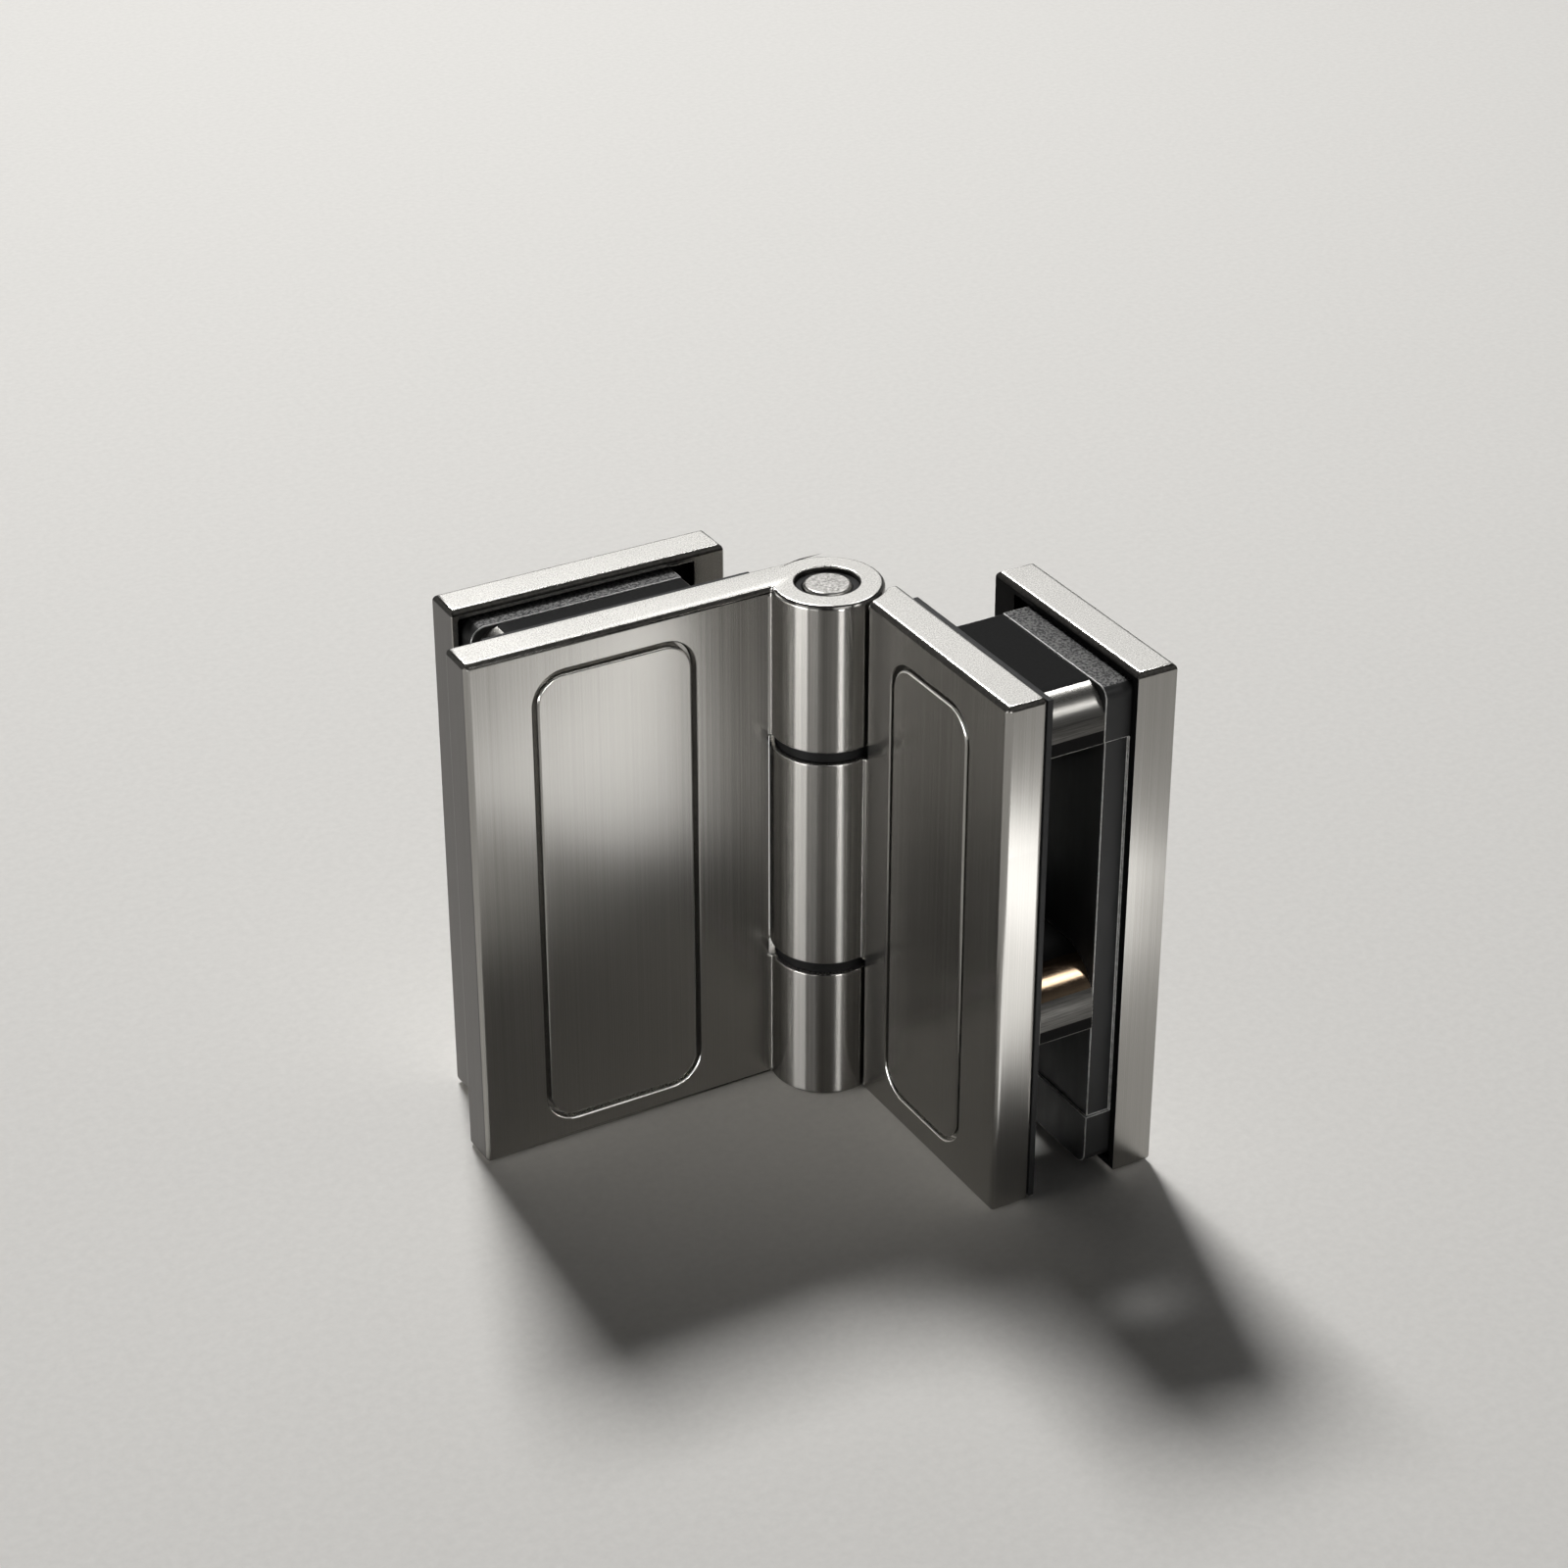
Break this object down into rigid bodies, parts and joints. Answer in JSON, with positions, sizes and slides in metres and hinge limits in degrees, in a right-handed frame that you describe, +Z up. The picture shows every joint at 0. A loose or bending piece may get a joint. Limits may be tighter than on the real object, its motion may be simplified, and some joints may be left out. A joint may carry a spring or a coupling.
{
  "type": "glass-to-glass door hinge",
  "caption": "Glass-to-glass door hinge: clamping leaves with inset covers and rear clamp plates, joined by a knuckled barrel on a pin, set at a right angle.",
  "frame": {"origin": "the barrel's axis at its foot, on the plane that the hinge stands on", "axes": "+Z up along the barrel; the fixed leaf lies along -X and its pane side is +Y; at rest the moving leaf lies along -Y and its pane side is +X"},
  "size_m": [0.0925, 0.0752, 0.09],
  "materials": {
    "leaf_steel": "satin, brushed upright",
    "cover_steel": "satin, brushed upright",
    "pin_steel": "blasted end, turned shank",
    "bar_steel": "polished",
    "bar_brass": "turned, slightly aged",
    "screw_steel": "plain",
    "bush_plastic": "moulded",
    "sleeve_plastic": "moulded",
    "gasket_rubber": "smooth sheet",
    "pad_rubber": "fine speckle"
  },
  "bodies": {
    "fixed_side": {"fixed_leaf": "leaf_steel", "fixed_cover": "cover_steel", "fixed_clamp_plate": "leaf_steel", "fixed_front_gasket": "gasket_rubber", "fixed_rear_pad": "pad_rubber", "fixed_upper_bar": "bar_steel", "fixed_lower_bar": "bar_brass", "fixed_lower_sleeve": "sleeve_plastic", "fixed_upper_sleeve": "sleeve_plastic", "fixed_lower_screw": "screw_steel", "fixed_upper_screw": "screw_steel", "lower_bush": "bush_plastic", "upper_bush": "bush_plastic", "lower_washer": "bush_plastic", "upper_washer": "bush_plastic"},
    "moving_side": {"moving_leaf": "leaf_steel", "moving_cover": "cover_steel", "moving_clamp_plate": "leaf_steel", "moving_front_gasket": "gasket_rubber", "moving_rear_pad": "pad_rubber", "moving_upper_bar": "bar_steel", "moving_lower_bar": "bar_brass", "moving_lower_sleeve": "sleeve_plastic", "moving_upper_sleeve": "sleeve_plastic", "moving_lower_screw": "screw_steel", "moving_upper_screw": "screw_steel", "hinge_pin": "pin_steel"}
  },
  "joints": [
    {"name": "barrel_hinge", "type": "hinge", "parent": "fixed_side", "child": "moving_side", "pos_m": [0, 0, 0.045], "axis": [0, 0, 1], "range_deg": [-90, 90]}
  ]
}
